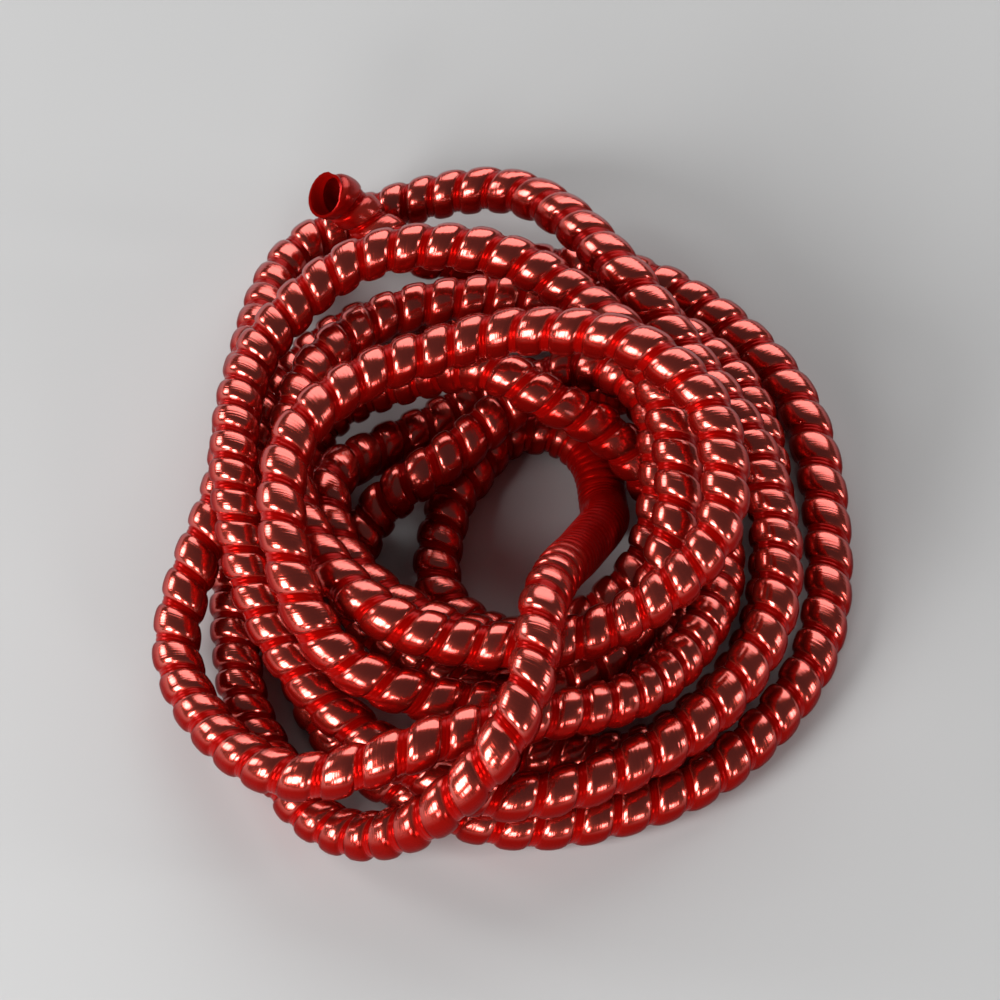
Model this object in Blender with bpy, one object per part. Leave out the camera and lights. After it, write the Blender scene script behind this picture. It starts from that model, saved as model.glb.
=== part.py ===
"""Spiral cable sleeve, tipped out in a loose pile.

The sleeve is one strip of red metallised plastic, wound into a long ribbed tube with an
open bore that a charging cable is threaded through. Both ends are cut, with no fittings.
The tube goes round clockwise, seen from above, from its open mouth at the back of the pile
to an end that lies under the front of it. It is built in stretches that meet face to face:
the mouth end, the first turns, the length that crosses over the pile, and the main coil.
Lengths are in metres and +Z is up.
"""
import math

import bpy
import numpy as np
from mathutils import Matrix

MM = 0.001

# The sleeve's section
SLEEVE_DIAMETER = 5.0 * MM
GROOVE_DEPTH = 0.6 * MM
STRIP_THICKNESS = 0.4 * MM
RIB_COUNT = 147
TUBE_BEVEL_RESOLUTION = 2
BORE_BEVEL_RESOLUTION = 1

# How the pile lies
REST_FLAT_DEPTH = SLEEVE_DIAMETER / 10
STRAND_SPACING = 5.9 * MM
MEETING_GAP = 0.3 * MM
STRAIGHT_END = SLEEVE_DIAMETER
OWN_LENGTH = 2.4 * SLEEVE_DIAMETER

# The open mouth end: points (x, y, height) in millimetres from the pile's middle, where a
# height of 0 is a strand that lies on the surface
MOUTH_POINTS = (
    (-18.0, 35.0, 10.5),
    (-16.0, 35.5, 8.0),
    (-13.5, 34.0, 5.5),
    (-8.5, 30.5, 5.0),
    (-2.5, 29.5, 4.5),
)

# The turns before the crossing: (distance from the middle, height) in millimetres at each
# hour of a clock face, one row for each turn or part of a turn, from one o'clock on
FIRST_TURNS = (
    ((33.5, 0.5), (33.0, 0), (31.0, 0), (34.0, 0), (35.0, 0),
     (35.0, 0), (31.0, 0), (25.0, 0), (21.0, 0), (20.5, 3.5), (15.0, 8.5)),
    ((11.0, 12.5), (10.0, 11.5), (13.5, 8.5), (17.5, 1.5), (18.0, 0), (16.0, 0),
     (14.0, 0), (10.5, 0), (6.5, 0), (5.0, 0), (5.0, 0), (5.5, 0)),
)
FIRST_TURNS_START_HOUR = 1

# The length that climbs out of the hole and crosses the pile to its near left edge:
# points as for the mouth end
CROSSING_POINTS = (
    (3.0, 11.0, 0),
    (8.5, 11.0, 0.5),
    (13.5, 7.0, 1.5),
    (15.0, 2.0, 2.5),
    (14.0, -3.5, 7.0),
    (10.5, -10.0, 11.0),
    (7.5, -15.5, 15.0),
    (5.5, -21.0, 17.5),
    (4.0, -28.0, 17.0),
    (1.0, -34.0, 14.5),
    (-3.5, -37.5, 10.5),
    (-8.5, -38.5, 5.5),
    (-14.0, -37.0, 1.5),
    (-18.5, -33.5, 0),
    (-21.5, -28.5, 0),
    (-24.5, -22.0, 0),
)

# The turns after the crossing, from eight o'clock on
MAIN_TURNS = (
    ((29.5, 0), (25.5, 0), (27.5, 0), (28.5, 0)),
    ((25.5, 0), (24.0, 0), (23.5, 0), (23.0, 0), (22.5, 0), (22.0, 0),
     (20.0, 0), (18.0, 0), (18.0, 0), (14.0, 1.0), (7.5, 4.5), (7.0, 4.5)),
    ((9.5, 4.5), (15.0, 7.0), (16.5, 9.5), (16.0, 8.5), (16.5, 6.5), (17.5, 5.5),
     (18.0, 5.5), (17.5, 6.0), (18.0, 6.0), (18.0, 5.5), (15.0, 1.5), (13.5, 0)),
    ((16.0, 0), (18.5, 1.0), (19.0, 4.0), (20.5, 5.5), (25.5, 6.5), (29.0, 8.0),
     (31.0, 10.0), (39.5, 5.5), (36.0, 0.5), (26.5, 4.0), (29.0, 4.0), (40.0, 0)),
    ((38.5, 5.0), (25.0, 11.0), (21.5, 8.5), (24.5, 6.0), (29.5, 5.5), (33.0, 5.5),
     (35.5, 5.5), (30.5, 5.5), (27.0, 6.0), (25.5, 9.0), (27.0, 9.5), (26.5, 13.0)),
    ((22.5, 14.5), (19.0, 13.5), (17.0, 15.0), (17.5, 14.5), (20.0, 13.0), (23.0, 7.0),
     (26.0, 7.5), (27.5, 10.5), (23.5, 15.5), (19.5, 16.0), (14.5, 15.5), (11.5, 15.5)),
    ((11.0, 16.5), (11.5, 18.5), (14.5, 20.5), (20.5, 20.0), (24.5, 17.5), (23.0, 13.5),
     (22.0, 12.0), (23.0, 13.5), (21.5, 11.0), (22.0, 10.0), (23.0, 9.5), (23.5, 8.0)),
    ((23.0, 7.5), (26.0, 5.5), (29.0, 2.5), (28.5, 0.5), (30.5, 0), (31.5, 0),
     (27.5, 0)),
)
MAIN_TURNS_START_HOUR = 8
HOURS_IN_A_TURN = 12

# Where one stretch meets the next, as distances along the sleeve
MOUTH_LENGTH = 28 * MM
CROSSING_START = 315 * MM
CROSSING_END = 404 * MM

# Easing the strands apart: the rounds, the spacing of the points that are moved, how much
# of each push goes sideways, how far a point is drawn back in each round and how far it
# settles
EASING_ROUNDS = 400
EASING_STEP = 2.5 * MM
SIDEWAYS_SHARE = 0.6
DRAWN_BACK_SHARE = 0.004
SETTLING = 0.004 * MM
MEASURING_STEP = 1.0 * MM
CURVE_STEPS_PER_POINT = 4

# How far a corner of the tube stands outside the route, as a share of its own bulge, so
# that the straight runs between corners keep to the route
CORNER_SHARE = 1 / 8

SLEEVE_COLOUR = (0.60, 0.035, 0.025, 1.0)
SLEEVE_METALLIC = 0.85
SLEEVE_ROUGHNESS = 0.22

SLEEVE_RADIUS = SLEEVE_DIAMETER / 2
GROOVE_RADIUS = SLEEVE_RADIUS - GROOVE_DEPTH
BORE_RADIUS = GROOVE_RADIUS - STRIP_THICKNESS
LOWEST_HEIGHT = SLEEVE_RADIUS - REST_FLAT_DEPTH


def clock_points(turns, start_hour):
    """Points (x, y, height) for rows of (distance, height), one point an hour."""
    stops = [stop for row in turns for stop in row]
    points = []
    for count, (distance, height) in enumerate(stops):
        angle = math.tau * (start_hour + count) / HOURS_IN_A_TURN
        points.append((distance * math.sin(angle), distance * math.cos(angle), height))
    return points


def run_lengths(points):
    """Distance along the points from the first to each."""
    steps = np.linalg.norm(np.diff(points, axis=0), axis=1)
    return np.concatenate(([0.0], np.cumsum(steps)))


def even_points(points, step):
    """Points at even steps along straight lines between the given ones."""
    along = run_lengths(points)
    stops = np.linspace(0.0, along[-1], round(along[-1] / step) + 1)
    return np.stack([np.interp(stops, along, points[:, axis]) for axis in range(3)], axis=1)


def smooth_points(points, step):
    """Points at even steps along one smooth curve through the given ones."""
    along = run_lengths(points)
    slopes = np.gradient(points, along, axis=0)
    stops = np.linspace(0.0, along[-1], round(along[-1] / step) * CURVE_STEPS_PER_POINT)
    start = np.clip(np.searchsorted(along, stops, side="right") - 1, 0, len(points) - 2)
    span = (along[start + 1] - along[start])[:, None]
    part = (stops - along[start])[:, None] / span
    curve = (
        points[start] * (1 + 2 * part) * (1 - part) ** 2
        + points[start + 1] * (3 - 2 * part) * part ** 2
        + slopes[start] * span * part * (1 - part) ** 2
        - slopes[start + 1] * span * (1 - part) * part ** 2
    )
    return even_points(curve, step)


def ease_apart(route):
    """The same route with its strands eased apart until they lie clear of each other."""
    eased = route.copy()
    for _ in range(EASING_ROUNDS):
        distances = np.linalg.norm(eased[:, None] - eased[None], axis=2)
        close = np.triu(distances < STRAND_SPACING, round(OWN_LENGTH / EASING_STEP))
        one, other = np.nonzero(close)
        distance = distances[one, other]
        push = (eased[one] - eased[other]) * (STRAND_SPACING / distance - 1)[:, None]
        pushes = np.zeros_like(eased)
        np.add.at(pushes, one, push)
        np.add.at(pushes, other, -push)
        crowd = close.sum(axis=0) + close.sum(axis=1)
        pushes /= np.maximum(crowd, 1)[:, None]
        pushes[:, :2] *= SIDEWAYS_SHARE
        moved = eased + pushes - route
        moved[:, :2] *= 1 - DRAWN_BACK_SHARE
        moved[:, 2] -= SETTLING
        moved[1:-1] = 0.25 * moved[:-2] + 0.5 * moved[1:-1] + 0.25 * moved[2:]
        eased = route + moved
        eased[:, 2] = np.maximum(eased[:, 2], LOWEST_HEIGHT)
    return eased


def least_gap(route):
    """Least gap between one strand and another, measured on close points."""
    points = even_points(route, MEASURING_STEP)
    distances = np.linalg.norm(points[:, None] - points[None], axis=2)
    own = round(OWN_LENGTH / MEASURING_STEP)
    return distances[np.triu_indices(len(points), own)].min() - SLEEVE_DIAMETER


def drawn_route():
    """The sleeve's middle line as its points give it, before it is eased apart."""
    points = [
        *MOUTH_POINTS,
        *clock_points(FIRST_TURNS, FIRST_TURNS_START_HOUR),
        *CROSSING_POINTS,
        *clock_points(MAIN_TURNS, MAIN_TURNS_START_HOUR),
    ]
    route = np.array(points) * MM
    route[:, 2] += LOWEST_HEIGHT
    return smooth_points(route, EASING_STEP)


def pile_route():
    """The sleeve's middle line, eased apart and centred over the origin."""
    route = ease_apart(drawn_route())
    route[:, :2] -= (route[:, :2].max(axis=0) + route[:, :2].min(axis=0)) / 2
    return route


def points_along(route, stops):
    """Points of the route at the given distances along it."""
    along = run_lengths(route)
    return np.stack([np.interp(stops, along, route[:, axis]) for axis in range(3)], axis=1)


def meeting_points(route, distance):
    """The two points that a straight end runs between, beyond a meeting and before it."""
    before, meeting, after = points_along(route, distance + np.array((-1, 0, 1)) * STRAIGHT_END)
    heading = (after - before) / np.linalg.norm(after - before)
    near = heading * MEETING_GAP / 2
    far = near + heading * STRAIGHT_END
    return (meeting - far, meeting - near), (meeting + near, meeting + far)


def stretch_points(route, start, end):
    """Points of one stretch, two to a rib, run straight for a diameter where it meets the next."""
    length = run_lengths(route)[-1]
    rib_step = length / (2 * RIB_COUNT)
    straight = STRAIGHT_END + MEETING_GAP / 2 + rib_step
    first = start + straight if start > 0 else start
    last = end - straight if end < length else end
    spaces = round((last - first) / rib_step)
    points = points_along(route, np.linspace(first, last, spaces + 1))
    corners = points[1:-1] - (points[:-2] + points[2:]) / 2
    points[1:-1] += corners * CORNER_SHARE
    if start > 0:
        points = np.vstack((meeting_points(route, start)[1], points))
    if end < length:
        points = np.vstack((points, meeting_points(route, end)[0]))
    return points


def tube(name, points, radii, bevel_resolution):
    """A closed tube along the points, with a radius at each."""
    curve = bpy.data.curves.new(name, "CURVE")
    curve.dimensions = "3D"
    curve.bevel_depth = 1.0
    curve.bevel_resolution = bevel_resolution
    curve.use_fill_caps = True
    spline = curve.splines.new("POLY")
    spline.points.add(len(points) - 1)
    for spline_point, point, radius in zip(spline.points, points, radii):
        spline_point.co = (*point, 1.0)
        spline_point.radius = radius
    guide = bpy.data.objects.new(name, curve)
    mesh = bpy.data.meshes.new_from_object(guide)
    bpy.data.objects.remove(guide)
    bpy.data.curves.remove(curve)
    mesh.name = name
    solid = bpy.data.objects.new(name, mesh)
    bpy.context.collection.objects.link(solid)
    return solid


def as_cutter(solid):
    """The solid, kept out of the model and used only to cut others."""
    solid.hide_render = True
    solid.display_type = "WIRE"
    return solid


def cut(solid, cutter):
    """Take the cutter's shape out of a solid."""
    boolean = solid.modifiers.new(cutter.name, "BOOLEAN")
    boolean.operation = "DIFFERENCE"
    boolean.object = cutter


def surface_block(route):
    """The block below the surface that the pile rests on, which cuts the strands flat."""
    bpy.ops.mesh.primitive_cube_add(size=1.0)
    block = bpy.context.active_object
    block.name = "surface_block"
    margin = 2 * SLEEVE_DIAMETER
    reach = 2 * (np.abs(route[:, :2]).max() + margin)
    block.data.transform(Matrix.Diagonal((reach, reach, margin, 1.0)))
    block.location.z = -margin / 2
    return as_cutter(block)


def sleeve_material():
    """Glossy red plastic with a metallised face."""
    material = bpy.data.materials.new("red_metallised_plastic")
    material.use_nodes = True
    shader = material.node_tree.nodes["Principled BSDF"]
    shader.inputs["Base Color"].default_value = SLEEVE_COLOUR
    shader.inputs["Metallic"].default_value = SLEEVE_METALLIC
    shader.inputs["Roughness"].default_value = SLEEVE_ROUGHNESS
    return material


def sleeve_stretch(name, points, material, block):
    """One stretch of the ribbed sleeve, with its bore right through it."""
    radii = [SLEEVE_RADIUS if count % 2 else GROOVE_RADIUS for count in range(len(points))]
    stretch = tube(name, points, radii, TUBE_BEVEL_RESOLUTION)
    stretch.data.materials.append(material)
    beyond = np.array((points[0] - points[1], points[-1] - points[-2]))
    bore_points = np.vstack((points[0] + beyond[0], points[1:-1], points[-1] + beyond[1]))
    bore_radii = [BORE_RADIUS] * len(points)
    bore = as_cutter(tube(name + "_bore", bore_points, bore_radii, BORE_BEVEL_RESOLUTION))
    cut(stretch, bore)
    cut(stretch, block)
    stretch.data.shade_smooth()


def main():
    for old in list(bpy.data.objects):
        bpy.data.objects.remove(old)
    route = pile_route()
    length = run_lengths(route)[-1]
    stretches = {
        "open_mouth_end": stretch_points(route, 0.0, MOUTH_LENGTH),
        "first_turns": stretch_points(route, MOUTH_LENGTH, CROSSING_START),
        "crossing_length": stretch_points(route, CROSSING_START, CROSSING_END),
        "main_coil": stretch_points(route, CROSSING_END, length),
    }
    whole = np.vstack(list(stretches.values()))
    print(f"sleeve length {run_lengths(whole)[-1]:.3f} m")
    print(f"least gap of the sleeve to itself {least_gap(whole) / MM:.2f} mm")
    material = sleeve_material()
    block = surface_block(route)
    for name, points in stretches.items():
        sleeve_stretch(name, points, material, block)


if __name__ == "__main__":
    main()
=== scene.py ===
"""Spiral cable sleeve, tipped out in a loose pile: the look of its wound strip.

The sleeve is one strip of red plastic with a metallised film inside its crown. The strip
is wound edge to edge into a flexible tube, and here it is wound again, turn by turn, along
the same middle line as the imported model's. Lengths are in metres and +Z is up.
"""
import math

import bpy
import numpy as np
from bpy.props import FloatProperty, FloatVectorProperty, PointerProperty
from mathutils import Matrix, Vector


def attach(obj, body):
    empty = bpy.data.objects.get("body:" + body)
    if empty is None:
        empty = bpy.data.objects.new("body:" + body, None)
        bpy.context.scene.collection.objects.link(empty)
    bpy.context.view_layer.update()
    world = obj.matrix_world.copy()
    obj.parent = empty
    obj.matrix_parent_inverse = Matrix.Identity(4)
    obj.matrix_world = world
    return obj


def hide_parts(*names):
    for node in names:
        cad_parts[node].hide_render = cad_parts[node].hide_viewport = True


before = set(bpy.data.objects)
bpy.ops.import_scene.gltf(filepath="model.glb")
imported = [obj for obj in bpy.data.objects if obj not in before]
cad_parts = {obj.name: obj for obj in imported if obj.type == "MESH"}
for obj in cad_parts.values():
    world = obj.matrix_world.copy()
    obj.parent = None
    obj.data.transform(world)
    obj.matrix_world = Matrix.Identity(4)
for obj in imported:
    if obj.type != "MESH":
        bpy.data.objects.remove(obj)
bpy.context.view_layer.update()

bl_info = {
    "name": "Spiral cable sleeve",
    "version": (1, 0, 0),
    "blender": (4, 5, 0),
    "location": "3D View > Sidebar > Sleeve",
    "description": "Winds a metallised plastic strip into a loose pile of cable sleeve",
    "category": "Object",
}

MM = 0.001

# The sleeve and its strip
SLEEVE_DIAMETER = 5.0 * MM
SLEEVE_RADIUS = SLEEVE_DIAMETER / 2
GROOVE_DEPTH = 0.5 * MM
STRIP_THICKNESS = 0.28 * MM

# How it lies: the height of its lowest middle line, the least distance between the middle
# lines of two strands, and the length of sleeve that counts as one strand with itself
LOWEST_HEIGHT = SLEEVE_RADIUS
STRAND_SPACING = 5.9 * MM
OWN_LENGTH = 2.4 * SLEEVE_DIAMETER

# The open mouth end: points (x, y, height) in millimetres from the pile's middle
MOUTH_POINTS = (
    (-18.0, 35.0, 10.5),
    (-16.0, 35.5, 8.0),
    (-13.5, 34.0, 5.5),
    (-8.5, 30.5, 5.0),
    (-2.5, 29.5, 4.5),
)

# The turns before the crossing: (distance from the middle, height) in millimetres at each
# hour of a clock face, from one o'clock on
FIRST_TURNS = (
    ((33.5, 0.5), (33.0, 0), (31.0, 0), (34.0, 0), (35.0, 0),
     (35.0, 0), (31.0, 0), (25.0, 0), (21.0, 0), (20.5, 3.5), (15.0, 8.5)),
    ((11.0, 12.5), (10.0, 11.5), (13.5, 8.5), (17.5, 1.5), (18.0, 0), (16.0, 0),
     (14.0, 0), (10.5, 0), (6.5, 0), (5.0, 0), (5.0, 0), (5.5, 0)),
)
FIRST_TURNS_START_HOUR = 1

# The length that climbs out of the hole and crosses the pile to its near left edge
CROSSING_POINTS = (
    (3.0, 11.0, 0),
    (8.5, 11.0, 0.5),
    (13.5, 7.0, 1.5),
    (15.0, 2.0, 2.5),
    (14.0, -3.5, 7.0),
    (10.5, -10.0, 11.0),
    (7.5, -15.5, 15.0),
    (5.5, -21.0, 17.5),
    (4.0, -28.0, 17.0),
    (1.0, -34.0, 14.5),
    (-3.5, -37.5, 10.5),
    (-8.5, -38.5, 5.5),
    (-14.0, -37.0, 1.5),
    (-18.5, -33.5, 0),
    (-21.5, -28.5, 0),
    (-24.5, -22.0, 0),
)

# The turns after the crossing, from eight o'clock on
MAIN_TURNS = (
    ((29.5, 0), (25.5, 0), (27.5, 0), (28.5, 0)),
    ((25.5, 0), (24.0, 0), (23.5, 0), (23.0, 0), (22.5, 0), (22.0, 0),
     (20.0, 0), (18.0, 0), (18.0, 0), (14.0, 1.0), (7.5, 4.5), (7.0, 4.5)),
    ((9.5, 4.5), (15.0, 7.0), (16.5, 9.5), (16.0, 8.5), (16.5, 6.5), (17.5, 5.5),
     (18.0, 5.5), (17.5, 6.0), (18.0, 6.0), (18.0, 5.5), (15.0, 1.5), (13.5, 0)),
    ((16.0, 0), (18.5, 1.0), (19.0, 4.0), (20.5, 5.5), (25.5, 6.5), (29.0, 8.0),
     (31.0, 10.0), (39.5, 5.5), (36.0, 0.5), (26.5, 4.0), (29.0, 4.0), (40.0, 0)),
    ((38.5, 5.0), (25.0, 11.0), (21.5, 8.5), (24.5, 6.0), (29.5, 5.5), (33.0, 5.5),
     (35.5, 5.5), (30.5, 5.5), (27.0, 6.0), (25.5, 9.0), (27.0, 9.5), (26.5, 13.0)),
    ((22.5, 14.5), (19.0, 13.5), (17.0, 15.0), (17.5, 14.5), (20.0, 13.0), (23.0, 7.0),
     (26.0, 7.5), (27.5, 10.5), (23.5, 15.5), (19.5, 16.0), (14.5, 15.5), (11.5, 15.5)),
    ((11.0, 16.5), (11.5, 18.5), (14.5, 20.5), (20.5, 20.0), (24.5, 17.5), (23.0, 13.5),
     (22.0, 12.0), (23.0, 13.5), (21.5, 11.0), (22.0, 10.0), (23.0, 9.5), (23.5, 8.0)),
    ((23.0, 7.5), (26.0, 5.5), (29.0, 2.5), (28.5, 0.5), (30.5, 0), (31.5, 0),
     (27.5, 0)),
)
MAIN_TURNS_START_HOUR = 8
HOURS_IN_A_TURN = 12

# Where one stretch ends and the next begins, as distances along the sleeve
MOUTH_LENGTH = 31 * MM
CROSSING_START = 315 * MM
CROSSING_END = 404 * MM
MAIN_COIL_HALFWAY = 905 * MM
PAST_THE_END = 2.0

# Easing the strands apart: in each round they are pushed, drawn back towards the route as
# it was given, and let down a little
EASING_ROUNDS = 400
EASING_STEP = 2.5 * MM
SIDEWAYS_SHARE = 0.6
DRAWN_BACK_SHARE = 0.004
SETTLING = 0.004 * MM
CURVE_STEPS_PER_POINT = 4

# The strip's pitch, as (distance along the sleeve, pitch) in millimetres: it is stretched
# here and there, and one turn nests in the next where the sleeve comes up out of the hole
PITCHES = (
    (0, 3.4), (40, 3.5), (62, 4.2), (85, 4.0), (105, 3.6), (120, 3.8), (160, 3.2),
    (195, 2.8), (215, 3.3), (290, 3.2), (297, 0.9), (322, 0.9), (331, 3.2), (338, 3.6),
    (352, 4.4), (368, 3.0), (560, 3.0), (660, 4.2), (670, 3.3), (740, 2.7), (765, 4.2),
    (795, 3.7), (850, 3.8), (868, 3.0), (883, 4.5), (928, 3.3), (940, 3.9), (1000, 4.0),
    (1024, 2.9), (1045, 3.4), (1100, 3.5), (1175, 4.1), (1190, 3.4), (1212, 3.9),
    (1242, 3.2), (1275, 3.6), (1290, 4.4), (1325, 3.3), (1430, 3.2),
)
# Below this pitch the crowns are lower, and lose their film
FULL_CROWN_PITCH = 2.6 * MM
CROWN_FALL = 1.5
FILM_FROM_CROWN = 0.3
FILM_FULL_CROWN = 0.9

# The mouth: its share of flare, and of film lost to the stretched plastic, each with how
# far it reaches along the sleeve
MOUTH_FLARE, MOUTH_FLARE_REACH = 0.07, 3 * MM
MOUTH_FILM_LOSS, MOUTH_FILM_REACH = 0.7, 9 * MM

# How finely the strip is made: the steps of a turn, the finer steps of the middle line, the
# places across the strip's outer and inner faces
TURN_STEPS = 24
LINE_STEPS = 48
LINE_STRIDE = LINE_STEPS // TURN_STEPS
OUTER_PLACES = 15
INNER_PLACES = 5
MIDDLE_LINE_STEP = 0.25 * MM
SHARP_ANGLE = math.radians(50)

# The strip's outer face, from edge to edge: the line step of each place, and its height as
# a share of the groove's depth. The low step near each edge is where the turns overlap
SECTION = (
    (0, 0.02), (3, 0.14), (5, 0.04), (7, 0.36), (9, 0.62), (13, 0.85), (18, 0.96),
    (24, 1.0), (30, 0.96), (35, 0.85), (39, 0.62), (41, 0.36), (43, 0.04), (45, 0.14),
    (48, 0.02),
)

# The film: where it lies across the strip, the part of a strand that faces up enough to show
# it bright, and how metallic and how coated it is. Below that, on the sides and underside,
# the film is painted a deep red shade that stands in for the shade and dark reflections there
FILM_STOPS = ((0.10, 0.0), (0.145, 1.0), (0.855, 1.0), (0.90, 0.0))
BRIGHT_FROM, BRIGHT_FULL = 0.35, 0.80
PLASTIC_METALLIC, FILM_METALLIC, BRIGHT_METALLIC = 0.3, 0.35, 0.3
BRIGHT_COAT, COAT_ROUGHNESS, COAT_IOR = 0.9, 0.08, 1.8

# Fine streaks along the strip: how many in its width and in a turn, and what they do
STREAKS_ACROSS, STREAKS_IN_A_TURN, STREAK_DETAIL = 22.0, 0.9, 2.0
STREAK_STRENGTH, STREAK_DEPTH = 0.6, 0.05 * MM
SMOOTHEST, ROUGHEST = 0.15, 0.28

# The camera, which looks down on the pile from its front
CAMERA_TARGET = Vector((-0.57, -1.30, 8.0)) * MM
CAMERA_ELEVATION = math.radians(57)
CAMERA_DISTANCE = 430 * MM
CAMERA_SENSOR, CAMERA_LENS = 36, 153.25
CAMERA_CLIP_START = 0.01

# The floor, and oval lamps that face a point above it: name, side in degrees from the
# camera's right, elevation in degrees, distance, width, height and level
FLOOR_SIZE, FLOOR_ROUGHNESS, FLOOR_SHINE = 8, 0.9, 0.2
LIT_POINT = Vector((0, 0, 10 * MM))
SOFTBOXES = (
    ("key_softbox", 218, 27, 0.6, 0.30, 0.30, 11.0),
    ("left_softbox", 160, 20, 0.6, 0.22, 0.26, 6.0),
    ("front_softbox", 254, 18, 0.6, 0.16, 0.18, 12.0),
    ("front_right_softbox", -58, 14, 0.6, 0.14, 0.16, 9.0),
    ("right_softbox", -8, 14, 0.6, 0.10, 0.30, 7.0),
    ("back_softbox", 82, 34, 0.7, 1.00, 0.60, 1.7),
)

# What is made once and used by every stretch
KEPT = {}


def clock_points(turns, start_hour):
    """Points (x, y, height) for rows of (distance, height), one point an hour."""
    stops = [stop for row in turns for stop in row]
    points = []
    for count, (distance, height) in enumerate(stops):
        angle = math.tau * (start_hour + count) / HOURS_IN_A_TURN
        points.append((distance * math.sin(angle), distance * math.cos(angle), height))
    return points


def run_lengths(points):
    """Distance along the points from the first to each."""
    steps = np.linalg.norm(np.diff(points, axis=0), axis=1)
    return np.concatenate(([0.0], np.cumsum(steps)))


def points_along(route, stops):
    """Points of the route at the given distances along it."""
    along = run_lengths(route)
    return np.stack([np.interp(stops, along, route[:, axis]) for axis in range(3)], axis=1)


def smooth_points(points, step):
    """Points at even steps along one smooth curve through the given ones."""
    along = run_lengths(points)
    slopes = np.gradient(points, along, axis=0)
    stops = np.linspace(0.0, along[-1], round(along[-1] / step) * CURVE_STEPS_PER_POINT)
    start = np.clip(np.searchsorted(along, stops, side="right") - 1, 0, len(points) - 2)
    span = (along[start + 1] - along[start])[:, None]
    part = (stops - along[start])[:, None] / span
    curve = (
        points[start] * (1 + 2 * part) * (1 - part) ** 2
        + points[start + 1] * (3 - 2 * part) * part ** 2
        + slopes[start] * span * part * (1 - part) ** 2
        - slopes[start + 1] * span * (1 - part) * part ** 2
    )
    length = run_lengths(curve)[-1]
    return points_along(curve, np.linspace(0.0, length, round(length / step) + 1))


def ease_apart(route):
    """The same route with its strands eased apart until they lie clear of each other."""
    eased = route.copy()
    for _ in range(EASING_ROUNDS):
        distances = np.linalg.norm(eased[:, None] - eased[None], axis=2)
        close = np.triu(distances < STRAND_SPACING, round(OWN_LENGTH / EASING_STEP))
        one, other = np.nonzero(close)
        distance = distances[one, other]
        push = (eased[one] - eased[other]) * (STRAND_SPACING / distance - 1)[:, None]
        pushes = np.zeros_like(eased)
        np.add.at(pushes, one, push)
        np.add.at(pushes, other, -push)
        crowd = close.sum(axis=0) + close.sum(axis=1)
        pushes /= np.maximum(crowd, 1)[:, None]
        pushes[:, :2] *= SIDEWAYS_SHARE
        moved = eased + pushes - route
        moved[:, :2] *= 1 - DRAWN_BACK_SHARE
        moved[:, 2] -= SETTLING
        moved[1:-1] = 0.25 * moved[:-2] + 0.5 * moved[1:-1] + 0.25 * moved[2:]
        eased = route + moved
        eased[:, 2] = np.maximum(eased[:, 2], LOWEST_HEIGHT)
    return eased


def pile_route():
    """The sleeve's middle line, eased apart and centred over the origin."""
    points = [
        *MOUTH_POINTS,
        *clock_points(FIRST_TURNS, FIRST_TURNS_START_HOUR),
        *CROSSING_POINTS,
        *clock_points(MAIN_TURNS, MAIN_TURNS_START_HOUR),
    ]
    route = np.array(points) * MM
    route[:, 2] += LOWEST_HEIGHT
    route = ease_apart(smooth_points(route, EASING_STEP))
    route[:, :2] -= (route[:, :2].max(axis=0) + route[:, :2].min(axis=0)) / 2
    return route


class MiddleLine:
    """The sleeve's middle line, with a fixed number of points to each turn of the strip."""

    def __init__(self):
        route = smooth_points(pile_route(), MIDDLE_LINE_STEP)
        along = run_lengths(route)
        pitches = np.interp(along / MM, *zip(*PITCHES)) * MM
        turns = np.concatenate(([0.0], np.cumsum(np.diff(along) / pitches[:-1])))
        places = np.arange(-LINE_STEPS, int(turns[-1] * LINE_STEPS) + 1) / LINE_STEPS
        self.stops = np.interp(places, turns, along)
        self.points = points_along(route, self.stops)
        self.pitches = np.interp(self.stops, along, pitches)
        headings = np.gradient(route, along, axis=0)
        self.tangents = np.stack(
            [np.interp(self.stops, along, headings[:, axis]) for axis in range(3)], axis=1
        )
        self.tangents /= np.linalg.norm(self.tangents, axis=1)[:, None]
        self.normals = self.untwisted_normals()
        self.sides = np.cross(self.tangents, self.normals)

    def untwisted_normals(self):
        """A direction square to the line at each point, which never turns about it."""
        normals = np.empty_like(self.points)
        normal = np.array((0.0, 0.0, 1.0))
        for count, tangent in enumerate(self.tangents):
            normal = normal - tangent * normal.dot(tangent)
            normal = normal / math.sqrt(normal.dot(normal))
            normals[count] = normal
        return normals

    def step_at(self, distance):
        """The step that ends the whole turn nearest to a distance, so that stretches meet."""
        last = (len(self.stops) - 1) // LINE_STRIDE - TURN_STEPS
        turns = round(np.searchsorted(self.stops, distance) / LINE_STEPS)
        return int(min(turns * TURN_STEPS, last))


def middle_line():
    """The middle line, worked out once and kept for every stretch."""
    if "line" not in KEPT:
        KEPT["line"] = MiddleLine()
    return KEPT["line"]


class SleeveSizes(bpy.types.PropertyGroup):
    """Sizes of the wound strip."""

    crown_radius: FloatProperty(
        name="Crown radius", description="Half the sleeve's outside diameter",
        default=SLEEVE_RADIUS, min=0.001, max=0.01, unit="LENGTH", precision=5,
    )
    groove_depth: FloatProperty(
        name="Groove depth", description="Depth of the groove between two crowns",
        default=GROOVE_DEPTH, min=0.0, max=0.001, unit="LENGTH", precision=5,
    )
    strip_thickness: FloatProperty(
        name="Strip thickness", description="Thickness of the plastic strip",
        default=STRIP_THICKNESS, min=0.0001, max=0.001, unit="LENGTH", precision=5,
    )


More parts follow.
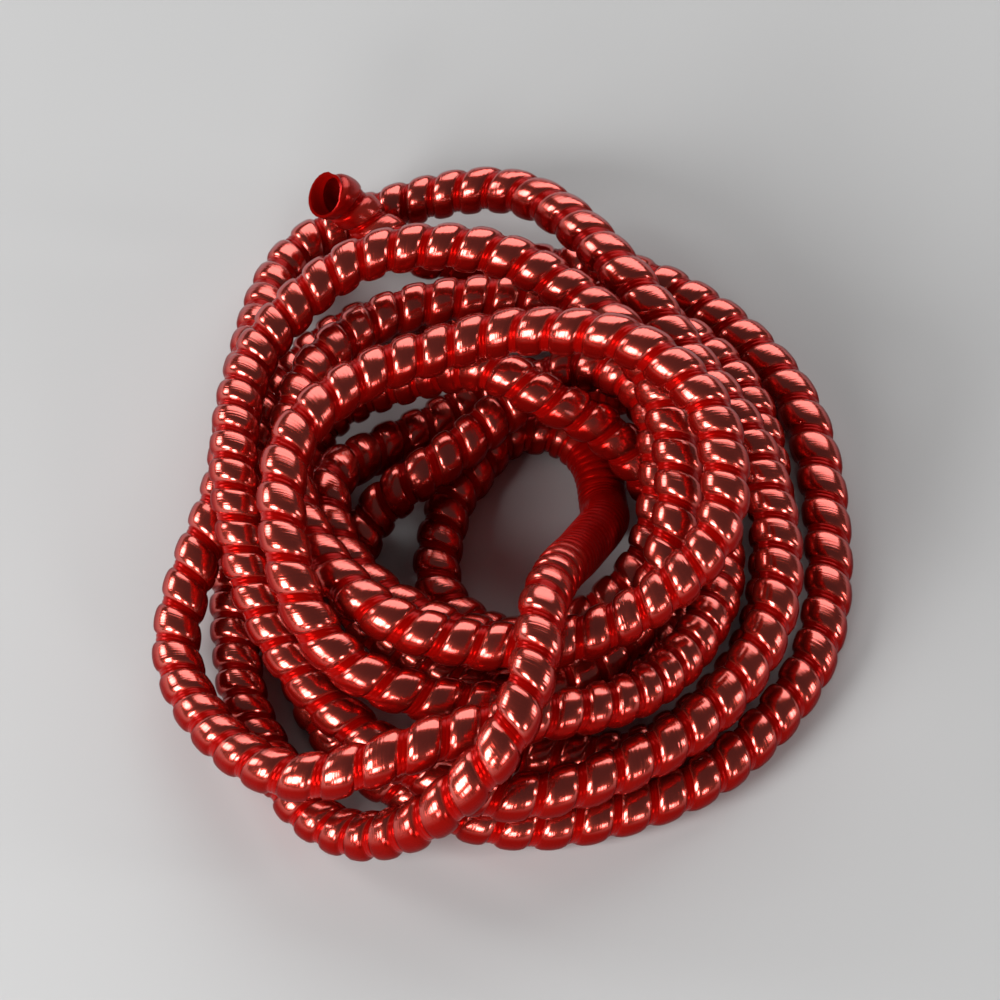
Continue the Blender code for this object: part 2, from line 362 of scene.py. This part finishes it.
class SleeveFinish(bpy.types.PropertyGroup):
    """Colours of the metallised strip, with the painted shade on its film's sides and
    underside.
    """

    crown_colour: FloatVectorProperty(
        name="Crown", description="Colour of the film in the strip's crown",
        default=(0.74, 0.078, 0.050), subtype="COLOR", size=3, min=0.0, max=1.0,
    )
    groove_colour: FloatVectorProperty(
        name="Groove", description="Colour of the red plastic at the strip's edges",
        default=(0.34, 0.002, 0.001), subtype="COLOR", size=3, min=0.0, max=1.0,
    )
    # Painted shade: the deep red the film takes where the strand faces sideways or down, in
    # place of shade and dark reflections there
    painted_shade_colour: FloatVectorProperty(
        name="Painted shade", description="Colour of the film on the sides and the underside",
        default=(0.32, 0.005, 0.003), subtype="COLOR", size=3, min=0.0, max=1.0,
    )


class SleeveStage(bpy.types.PropertyGroup):
    """The floor and the lamps."""

    floor_colour: FloatVectorProperty(
        name="Floor", description="Colour of the floor",
        default=(0.60, 0.60, 0.60), subtype="COLOR", size=3, min=0.0, max=1.0,
    )
    room_level: FloatProperty(
        name="Room level", description="Brightness of the room round the floor",
        default=0.06, min=0.0, max=1.0,
    )


def link_nodes(tree, *pairs):
    """Joins node sockets, each pair an output and an input."""
    for output, socket in pairs:
        tree.links.new(output, socket)


def math_node(tree, operation, first, second=None, third=None):
    """A Math node; an input may be a number or another node's output."""
    node = tree.nodes.new("ShaderNodeMath")
    node.operation = operation
    for socket, value in zip(node.inputs, (first, second, third)):
        if value is None:
            continue
        if isinstance(value, (int, float)):
            socket.default_value = value
        else:
            tree.links.new(value, socket)
    return node.outputs[0]


def scaled(tree, vector, factor):
    """A vector times a number."""
    node = tree.nodes.new("ShaderNodeVectorMath")
    node.operation = "SCALE"
    tree.links.new(vector, node.inputs[0])
    tree.links.new(factor, node.inputs["Scale"])
    return node.outputs["Vector"]


def summed(tree, first, second):
    """The sum of two vectors."""
    node = tree.nodes.new("ShaderNodeVectorMath")
    node.operation = "ADD"
    link_nodes(tree, (first, node.inputs[0]), (second, node.inputs[1]))
    return node.outputs["Vector"]


def colour_mix(tree, factor, first, second):
    """A mix of two colours; each may be a value or another node's output."""
    node = tree.nodes.new("ShaderNodeMix")
    node.data_type = "RGBA"
    tree.links.new(factor, node.inputs["Factor"])
    for name, value in (("A", first), ("B", second)):
        socket = next(
            item for item in node.inputs if item.name == name and item.type == "RGBA"
        )
        if isinstance(value, tuple):
            socket.default_value = value
        else:
            tree.links.new(value, socket)
    return next(item for item in node.outputs if item.type == "RGBA")


def drawn_curve(tree, value, points):
    """A Float Curve node through the given points."""
    node = tree.nodes.new("ShaderNodeFloatCurve")
    tree.links.new(value, node.inputs["Value"])
    curve = node.mapping.curves[0]
    curve.points[0].location = points[0]
    curve.points[1].location = points[-1]
    for point in points[1:-1]:
        curve.points.new(*point)
    node.mapping.update()
    return node.outputs[0]


def sampled(tree, guide, name, index, kind="FLOAT_VECTOR"):
    """A named attribute of the guide line at an index."""
    attribute = tree.nodes.new("GeometryNodeInputNamedAttribute")
    attribute.data_type = kind
    attribute.inputs["Name"].default_value = name
    node = tree.nodes.new("GeometryNodeSampleIndex")
    node.data_type = kind
    node.clamp = True
    link_nodes(
        tree,
        (guide, node.inputs["Geometry"]),
        (attribute.outputs[0], node.inputs["Value"]),
        (index, node.inputs["Index"]),
    )
    return node.outputs[0]


def winding_tree():
    """The node tree that winds a strip of arched section round a guide line."""
    tree = bpy.data.node_groups.new("wound_strip", "GeometryNodeTree")
    face = tree.interface
    face.new_socket("Guide", in_out="INPUT", socket_type="NodeSocketGeometry")
    for name, value in (
        ("Crown radius", SLEEVE_RADIUS),
        ("Groove depth", GROOVE_DEPTH),
        ("Strip thickness", STRIP_THICKNESS),
    ):
        socket = face.new_socket(name, in_out="INPUT", socket_type="NodeSocketFloat")
        socket.default_value = value
        socket.subtype = "DISTANCE"
    for name, value in (
        ("Steps in a turn", TURN_STEPS),
        ("Line steps in a turn", LINE_STEPS),
        ("Outer places", OUTER_PLACES),
        ("Inner places", INNER_PLACES),
        ("First line step", 0),
    ):
        socket = face.new_socket(name, in_out="INPUT", socket_type="NodeSocketInt")
        socket.default_value = value
    face.new_socket("Finish", in_out="INPUT", socket_type="NodeSocketMaterial")
    face.new_socket("Sleeve", in_out="OUTPUT", socket_type="NodeSocketGeometry")
    given = tree.nodes.new("NodeGroupInput").outputs
    result = tree.nodes.new("NodeGroupOutput")

    # A closed tube with a ring of places for each step, to be moved into the wound strip
    size = tree.nodes.new("GeometryNodeAttributeDomainSize")
    tree.links.new(given["Guide"], size.inputs[0])
    stride = math_node(
        tree, "DIVIDE", given["Line steps in a turn"], given["Steps in a turn"]
    )
    spare = math_node(tree, "SUBTRACT", size.outputs["Point Count"], 1)
    spare = math_node(tree, "SUBTRACT", spare, given["Line steps in a turn"])
    steps = math_node(tree, "DIVIDE", spare, stride)
    places = math_node(tree, "ADD", given["Outer places"], given["Inner places"])
    solid = tree.nodes.new("GeometryNodeMeshCylinder")
    solid.fill_type = "NGON"
    link_nodes(
        tree, (places, solid.inputs["Vertices"]), (steps, solid.inputs["Side Segments"])
    )

    # Which step a point is at, and which place, and how far across the strip that is
    index = tree.nodes.new("GeometryNodeInputIndex").outputs[0]
    middle_of_index = math_node(tree, "ADD", index, 0.5)
    step = math_node(tree, "DIVIDE", middle_of_index, places)
    step = math_node(tree, "FLOOR", step)
    place = math_node(tree, "SUBTRACT", index, math_node(tree, "MULTIPLY", step, places))
    outer_last = math_node(tree, "SUBTRACT", given["Outer places"], 1)
    inner = math_node(tree, "GREATER_THAN", place, math_node(tree, "ADD", outer_last, 0.5))
    share = math_node(tree, "DIVIDE", place, outer_last)
    across_outer = drawn_curve(
        tree, share,
        [(place / (OUTER_PLACES - 1), stop / LINE_STEPS)
         for place, (stop, _) in enumerate(SECTION)],
    )
    back = math_node(tree, "SUBTRACT", math_node(tree, "SUBTRACT", places, 1), place)
    across_inner = math_node(
        tree, "DIVIDE", back, math_node(tree, "SUBTRACT", given["Inner places"], 1)
    )
    outer = math_node(tree, "SUBTRACT", 1, inner)
    across = math_node(
        tree, "ADD",
        math_node(tree, "MULTIPLY", across_outer, outer),
        math_node(tree, "MULTIPLY", across_inner, inner),
    )

    # The step of the middle line that the point goes round, never before the mouth's cut
    line_offset = math_node(
        tree, "ROUND", math_node(tree, "MULTIPLY", across, given["Line steps in a turn"])
    )
    line_start = math_node(tree, "MULTIPLY", step, stride)
    line_index = math_node(tree, "ADD", line_start, line_offset)
    line_index = math_node(tree, "MAXIMUM", line_index, given["First line step"])
    line_offset = math_node(tree, "SUBTRACT", line_index, line_start)
    across = math_node(tree, "DIVIDE", line_offset, given["Line steps in a turn"])

    # How far from the middle line it lies, and in which direction
    height = drawn_curve(
        tree, across, [(stop / LINE_STEPS, level) for stop, level in SECTION]
    )
    crown = sampled(tree, given["Guide"], "crown_share", line_index, "FLOAT")
    flare = sampled(tree, given["Guide"], "flare", line_index, "FLOAT")
    deepest = math_node(tree, "MULTIPLY", crown, given["Groove depth"])
    dip = math_node(tree, "MULTIPLY", math_node(tree, "SUBTRACT", 1, height), deepest)
    inset = math_node(tree, "MULTIPLY", inner, given["Strip thickness"])
    inset = math_node(tree, "ADD", dip, inset)
    radius = math_node(tree, "SUBTRACT", given["Crown radius"], inset)
    radius = math_node(tree, "MULTIPLY", radius, flare)
    turned = math_node(tree, "DIVIDE", step, given["Steps in a turn"])
    angle = math_node(tree, "MULTIPLY", turned, -math.tau)
    normal = sampled(tree, given["Guide"], "normal", line_index)
    side = sampled(tree, given["Guide"], "side", line_index)
    out = summed(
        tree,
        scaled(tree, normal, math_node(tree, "COSINE", angle)),
        scaled(tree, side, math_node(tree, "SINE", angle)),
    )
    middle = tree.nodes.new("GeometryNodeInputPosition")
    centre = tree.nodes.new("GeometryNodeSampleIndex")
    centre.data_type = "FLOAT_VECTOR"
    centre.clamp = True
    link_nodes(
        tree,
        (given["Guide"], centre.inputs["Geometry"]),
        (middle.outputs[0], centre.inputs["Value"]),
        (line_index, centre.inputs["Index"]),
    )
    placed = tree.nodes.new("GeometryNodeSetPosition")
    link_nodes(
        tree,
        (solid.outputs["Mesh"], placed.inputs["Geometry"]),
        (
            summed(tree, centre.outputs[0], scaled(tree, out, radius)),
            placed.inputs["Position"],
        ),
    )

    # What the film's material reads
    marked = placed.outputs[0]
    split = tree.nodes.new("ShaderNodeSeparateXYZ")
    tree.links.new(out, split.inputs[0])
    film = sampled(tree, given["Guide"], "film_share", line_index, "FLOAT")
    # The upward share lets the material paint shade on the film's sides and underside
    for name, value in (
        ("across_strip", across), ("turns_along", turned), ("upward", split.outputs["Z"]),
        ("film_share", film),
    ):
        store = tree.nodes.new("GeometryNodeStoreNamedAttribute")
        store.data_type = "FLOAT"
        store.domain = "POINT"
        store.inputs["Name"].default_value = name
        link_nodes(tree, (marked, store.inputs["Geometry"]), (value, store.inputs["Value"]))
        marked = store.outputs[0]
    flipped = tree.nodes.new("GeometryNodeFlipFaces")
    smooth = tree.nodes.new("GeometryNodeSetShadeSmooth")
    finish = tree.nodes.new("GeometryNodeSetMaterial")
    link_nodes(
        tree,
        (marked, flipped.inputs[0]),
        (flipped.outputs[0], smooth.inputs["Geometry"]),
        (smooth.outputs[0], finish.inputs["Geometry"]),
        (given["Finish"], finish.inputs["Material"]),
        (finish.outputs[0], result.inputs[0]),
    )
    return tree


def own_attribute(tree, name):
    """The value of an attribute that the winding stored on the strip."""
    node = tree.nodes.new("ShaderNodeAttribute")
    node.attribute_name = name
    return node.outputs["Fac"]


def smooth_share(tree, value, none, whole):
    """A share that rises smoothly from 0 to 1 as a value goes between two levels."""
    node = tree.nodes.new("ShaderNodeMapRange")
    node.interpolation_type = "SMOOTHSTEP"
    node.inputs["From Min"].default_value = none
    node.inputs["From Max"].default_value = whole
    tree.links.new(value, node.inputs["Value"])
    return node.outputs[0]


def strip_film(finish):
    """Glossy plastic over a red metallised film: deeper red in the grooves, where the plastic
    is bare, and a painted shade of deep red low down on the film's sides and underside.
    """
    if "film" in KEPT:
        return KEPT["film"]
    material = bpy.data.materials.new("red_metallised_film")
    material.use_nodes = True
    tree = material.node_tree
    shader = tree.nodes["Principled BSDF"]
    across = own_attribute(tree, "across_strip")
    along = own_attribute(tree, "turns_along")
    ramp = tree.nodes.new("ShaderNodeValToRGB")
    stops = ramp.color_ramp.elements
    stops[0].position, stops[1].position = FILM_STOPS[0][0], FILM_STOPS[-1][0]
    for position, _ in FILM_STOPS[1:-1]:
        stops.new(position)
    for stop, (_, level) in zip(stops, FILM_STOPS):
        stop.color = (level, level, level, 1)
    tree.links.new(across, ramp.inputs[0])
    film = math_node(
        tree, "MULTIPLY", ramp.outputs["Color"], own_attribute(tree, "film_share")
    )
    bright = smooth_share(tree, own_attribute(tree, "upward"), BRIGHT_FROM, BRIGHT_FULL)
    # Painted shade: the film keeps its crown colour where the strand faces up and turns to
    # the painted shade colour on its sides and underside
    film_with_painted_shade = colour_mix(tree, bright, (*finish.painted_shade_colour, 1), (*finish.crown_colour, 1))
    colour = colour_mix(tree, film, (*finish.groove_colour, 1), film_with_painted_shade)
    lit = math_node(tree, "MULTIPLY", film, bright)
    metal = math_node(tree, "MULTIPLY_ADD", film, FILM_METALLIC, PLASTIC_METALLIC)
    metal = math_node(tree, "MULTIPLY_ADD", lit, BRIGHT_METALLIC, metal)
    coat = math_node(tree, "MULTIPLY", lit, BRIGHT_COAT)
    link_nodes(
        tree,
        (colour, shader.inputs["Base Color"]),
        (metal, shader.inputs["Metallic"]),
        (coat, shader.inputs["Coat Weight"]),
    )
    # The gloss is tinted with the same deep red as the painted shade
    shader.inputs["Specular Tint"].default_value = (*finish.painted_shade_colour, 1)
    place = tree.nodes.new("ShaderNodeCombineXYZ")
    link_nodes(
        tree,
        (math_node(tree, "MULTIPLY", across, STREAKS_ACROSS), place.inputs[0]),
        (math_node(tree, "MULTIPLY", along, STREAKS_IN_A_TURN), place.inputs[1]),
    )
    streaks = tree.nodes.new("ShaderNodeTexNoise")
    streaks.inputs["Scale"].default_value = 1.0
    streaks.inputs["Detail"].default_value = STREAK_DETAIL
    tree.links.new(place.outputs[0], streaks.inputs["Vector"])
    bump = tree.nodes.new("ShaderNodeBump")
    bump.inputs["Strength"].default_value = STREAK_STRENGTH
    bump.inputs["Distance"].default_value = STREAK_DEPTH
    link_nodes(
        tree,
        (streaks.outputs["Fac"], bump.inputs["Height"]),
        (bump.outputs[0], shader.inputs["Normal"]),
        (bump.outputs[0], shader.inputs["Coat Normal"]),
    )
    rough = tree.nodes.new("ShaderNodeMapRange")
    rough.inputs["To Min"].default_value = SMOOTHEST
    rough.inputs["To Max"].default_value = ROUGHEST
    link_nodes(
        tree,
        (streaks.outputs["Fac"], rough.inputs["Value"]),
        (rough.outputs[0], shader.inputs["Roughness"]),
    )
    shader.inputs["Coat Roughness"].default_value = COAT_ROUGHNESS
    shader.inputs["Coat IOR"].default_value = COAT_IOR
    KEPT["film"] = material
    return material


def guide_line(name, line, first, last):
    """The part of the middle line that a stretch is wound round, as a mesh of points."""
    span = slice(first * LINE_STRIDE, last * LINE_STRIDE + LINE_STEPS + 1)
    mesh = bpy.data.meshes.new(name)
    points = line.points[span]
    mesh.vertices.add(len(points))
    mesh.vertices.foreach_set("co", points.ravel())
    for attribute, values in (("normal", line.normals), ("side", line.sides)):
        stored = mesh.attributes.new(attribute, "FLOAT_VECTOR", "POINT")
        stored.data.foreach_set("vector", values[span].ravel())
    stops = line.stops[span]
    crowns = np.clip(line.pitches[span] / FULL_CROWN_PITCH, 0.0, 1.0) ** CROWN_FALL
    flares = 1 + MOUTH_FLARE * np.exp(-stops / MOUTH_FLARE_REACH)
    films = (crowns - FILM_FROM_CROWN) / (FILM_FULL_CROWN - FILM_FROM_CROWN)
    films = np.clip(films, 0.0, 1.0)
    films *= 1 - MOUTH_FILM_LOSS * np.exp(-((stops / MOUTH_FILM_REACH) ** 2))
    for attribute, values in (
        ("crown_share", crowns), ("flare", flares), ("film_share", films),
    ):
        stored = mesh.attributes.new(attribute, "FLOAT", "POINT")
        stored.data.foreach_set("value", values)
    mesh.update()
    guide = bpy.data.objects.new(name, mesh)
    bpy.context.scene.collection.objects.link(guide)
    return guide


def wound_stretch(name, start, end, far_end, *nodes):
    """One stretch of the sleeve, wound round its part of the middle line."""
    scene = bpy.context.scene
    sizes, line = scene.sleeve_sizes, middle_line()
    first, last = line.step_at(start), line.step_at(end)
    guide = guide_line(name + "_guide", line, first, last)
    if "tree" not in KEPT:
        KEPT["tree"] = winding_tree()
    winding = guide.modifiers.new("Winding", "NODES")
    winding.node_group = KEPT["tree"]
    sockets = {
        item.name: item.identifier
        for item in KEPT["tree"].interface.items_tree
        if item.in_out == "INPUT"
    }
    winding[sockets["Crown radius"]] = sizes.crown_radius
    winding[sockets["Groove depth"]] = sizes.groove_depth
    winding[sockets["Strip thickness"]] = sizes.strip_thickness
    # The mouth is cut square across, so its first turn keeps to the cut
    cut_off = LINE_STEPS if start == 0.0 else 0
    winding[sockets["First line step"]] = cut_off
    winding[sockets["Finish"]] = strip_film(scene.sleeve_finish)
    bpy.context.view_layer.update()
    wound = guide.evaluated_get(bpy.context.evaluated_depsgraph_get())
    mesh = bpy.data.meshes.new_from_object(wound)
    mesh.name = name
    bpy.data.objects.remove(guide)
    mesh.set_sharp_from_angle(angle=SHARP_ANGLE)
    stretch = bpy.data.objects.new(name, mesh)
    scene.collection.objects.link(stretch)
    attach(stretch, "root")
    if nodes:
        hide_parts(*nodes)


class SLEEVE_OT_camera(bpy.types.Operator):
    """Set up the camera that looks down on the pile from its front"""

    bl_idname = "sleeve.camera"
    bl_label = "Camera"

    def execute(self, context):
        away = Vector((0, -math.cos(CAMERA_ELEVATION), math.sin(CAMERA_ELEVATION)))
        data = bpy.data.cameras.new("camera")
        data.sensor_width = CAMERA_SENSOR
        data.lens = CAMERA_LENS
        data.clip_start = CAMERA_CLIP_START
        camera = bpy.data.objects.new("camera", data)
        camera.location = CAMERA_TARGET + away * CAMERA_DISTANCE
        camera.rotation_euler = (-away).to_track_quat("-Z", "Y").to_euler()
        context.scene.collection.objects.link(camera)
        context.scene.camera = camera
        return {"FINISHED"}


class SLEEVE_OT_mouth_end(bpy.types.Operator):
    """Wind the open mouth end, where the strip is stretched and flared"""

    bl_idname = "sleeve.mouth_end"
    bl_label = "Open mouth end"

    def execute(self, context):
        wound_stretch("sleeve_mouth_end", 0.0, MOUTH_LENGTH, "bare", "open_mouth_end")
        return {"FINISHED"}


class SLEEVE_OT_first_turns(bpy.types.Operator):
    """Wind the turns between the mouth end and the crossing"""

    bl_idname = "sleeve.first_turns"
    bl_label = "First turns"

    def execute(self, context):
        wound_stretch(
            "sleeve_first_turns", MOUTH_LENGTH, CROSSING_START, "object", "first_turns"
        )
        return {"FINISHED"}


class SLEEVE_OT_crossing(bpy.types.Operator):
    """Wind the length that climbs out of the hole and crosses the pile"""

    bl_idname = "sleeve.crossing"
    bl_label = "Crossing length"

    def execute(self, context):
        wound_stretch(
            "sleeve_crossing", CROSSING_START, CROSSING_END, "object", "crossing_length"
        )
        return {"FINISHED"}


class SLEEVE_OT_main_coil(bpy.types.Operator):
    """Wind the main coil, in a lower and an upper half"""

    bl_idname = "sleeve.main_coil"
    bl_label = "Main coil"

    def execute(self, context):
        wound_stretch(
            "sleeve_main_lower", CROSSING_END, MAIN_COIL_HALFWAY, "object", "main_coil"
        )
        wound_stretch("sleeve_main_upper", MAIN_COIL_HALFWAY, PAST_THE_END, "bare")
        return {"FINISHED"}


def softbox(name, side, elevation, distance, width, height, level):
    """One of the oval lamps."""
    data = bpy.data.lights.new(name, "AREA")
    data.shape = "ELLIPSE"
    data.size, data.size_y = width, height
    data.energy = level * math.pi * width * height
    turn, rise = math.radians(side), math.radians(elevation)
    towards = Vector((
        math.cos(turn) * math.cos(rise), math.sin(turn) * math.cos(rise), math.sin(rise)
    ))
    lamp = bpy.data.objects.new(name, data)
    lamp.location = towards * distance + LIT_POINT
    lamp.rotation_euler = towards.to_track_quat("Z", "Y").to_euler()
    bpy.context.scene.collection.objects.link(lamp)


class SLEEVE_OT_stage(bpy.types.Operator):
    """Set up the floor, the room and the softboxes"""

    bl_idname = "sleeve.stage"
    bl_label = "Stage"

    def execute(self, context):
        settings = context.scene.sleeve_stage
        bpy.ops.mesh.primitive_plane_add(size=FLOOR_SIZE)
        floor = context.active_object
        floor.name = "floor"
        material = bpy.data.materials.new("pale_floor")
        material.use_nodes = True
        shader = material.node_tree.nodes["Principled BSDF"]
        shader.inputs["Base Color"].default_value = (*settings.floor_colour, 1)
        shader.inputs["Roughness"].default_value = FLOOR_ROUGHNESS
        shader.inputs["Specular IOR Level"].default_value = FLOOR_SHINE
        floor.data.materials.append(material)
        for lamp in SOFTBOXES:
            softbox(*lamp)
        world = bpy.data.worlds.new("room")
        world.use_nodes = True
        room = world.node_tree.nodes["Background"]
        room.inputs["Color"].default_value = (1, 1, 1, 1)
        room.inputs["Strength"].default_value = settings.room_level
        context.scene.world = world
        context.scene.view_settings.view_transform = "Standard"
        return {"FINISHED"}


class SLEEVE_PT_panel(bpy.types.Panel):
    """The sleeve's sizes, colours and making steps"""

    bl_idname = "SLEEVE_PT_panel"
    bl_label = "Spiral cable sleeve"
    bl_space_type = "VIEW_3D"
    bl_region_type = "UI"
    bl_category = "Sleeve"

    def draw(self, context):
        scene = context.scene
        for group in (scene.sleeve_sizes, scene.sleeve_finish, scene.sleeve_stage):
            box = self.layout.box()
            for name in group.bl_rna.properties.keys():
                if name not in ("rna_type", "name"):
                    box.prop(group, name)
        for operator in OPERATORS:
            self.layout.operator(operator.bl_idname)


OPERATORS = (
    SLEEVE_OT_camera,
    SLEEVE_OT_mouth_end,
    SLEEVE_OT_first_turns,
    SLEEVE_OT_crossing,
    SLEEVE_OT_main_coil,
    SLEEVE_OT_stage,
)
CLASSES = (SleeveSizes, SleeveFinish, SleeveStage, *OPERATORS, SLEEVE_PT_panel)


def register():
    for kind in CLASSES:
        bpy.utils.register_class(kind)
    bpy.types.Scene.sleeve_sizes = PointerProperty(type=SleeveSizes)
    bpy.types.Scene.sleeve_finish = PointerProperty(type=SleeveFinish)
    bpy.types.Scene.sleeve_stage = PointerProperty(type=SleeveStage)


def unregister():
    del bpy.types.Scene.sleeve_stage
    del bpy.types.Scene.sleeve_finish
    del bpy.types.Scene.sleeve_sizes
    for kind in reversed(CLASSES):
        bpy.utils.unregister_class(kind)


def main():
    register()
    bpy.ops.sleeve.camera()
    bpy.ops.sleeve.mouth_end()
    bpy.ops.sleeve.first_turns()
    bpy.ops.sleeve.crossing()
    bpy.ops.sleeve.main_coil()
    bpy.ops.sleeve.stage()


if __name__ == "__main__":
    main()
